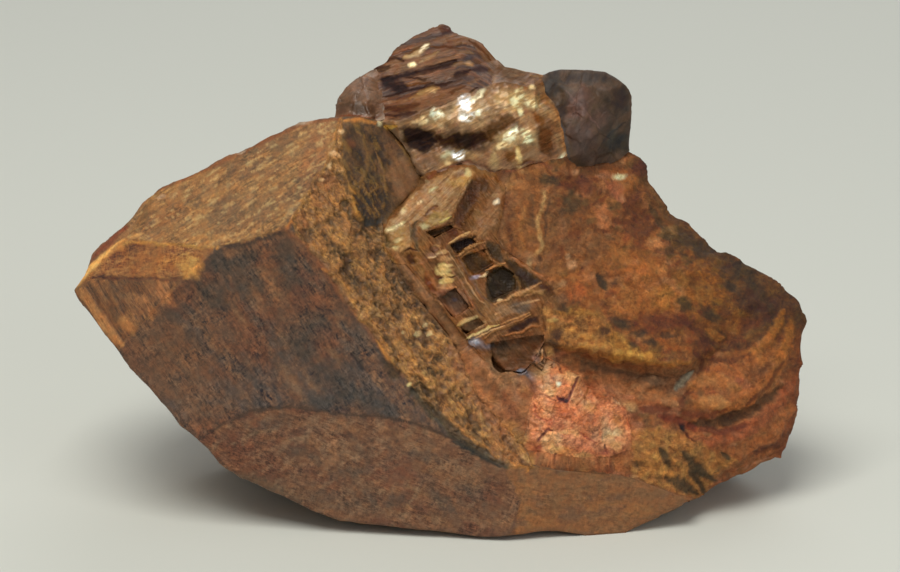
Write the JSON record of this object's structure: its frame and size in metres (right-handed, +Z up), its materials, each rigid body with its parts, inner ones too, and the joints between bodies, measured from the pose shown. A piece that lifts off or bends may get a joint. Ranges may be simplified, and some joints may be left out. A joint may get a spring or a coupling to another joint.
{
  "type": "columbite mineral specimen",
  "caption": "Natural hand specimen: a dark brown tabular columbite crystal grown into rust-stained pegmatite rock with mica, quartz and pink feldspar, resting on a flat underside.",
  "frame": {"origin": "middle of the specimen's box, on the plane of its flat resting underside", "axes": "+Z up; +X along the specimen's length, from the pointed end of the columbite crystal to the rock end; the crystal's broad front face looks towards -Y and leans back 18 degrees"},
  "size_m": [0.0724, 0.037, 0.0462],
  "materials": {
    "columbite": "satin",
    "pegmatite_rock": "matte",
    "mica": "gloss",
    "smoky_quartz": "gloss",
    "pale_quartz": "satin",
    "pink_feldspar": "satin",
    "ladder_plates": "satin"
  },
  "bodies": {
    "root": {"columbite_crystal": "columbite", "matrix_rock": "pegmatite_rock", "mica_book": "mica", "quartz_smoky": "smoky_quartz", "quartz_pale": "pale_quartz", "feldspar_pink": "pink_feldspar", "columbite_ladder": "ladder_plates"}
  },
  "joints": []
}
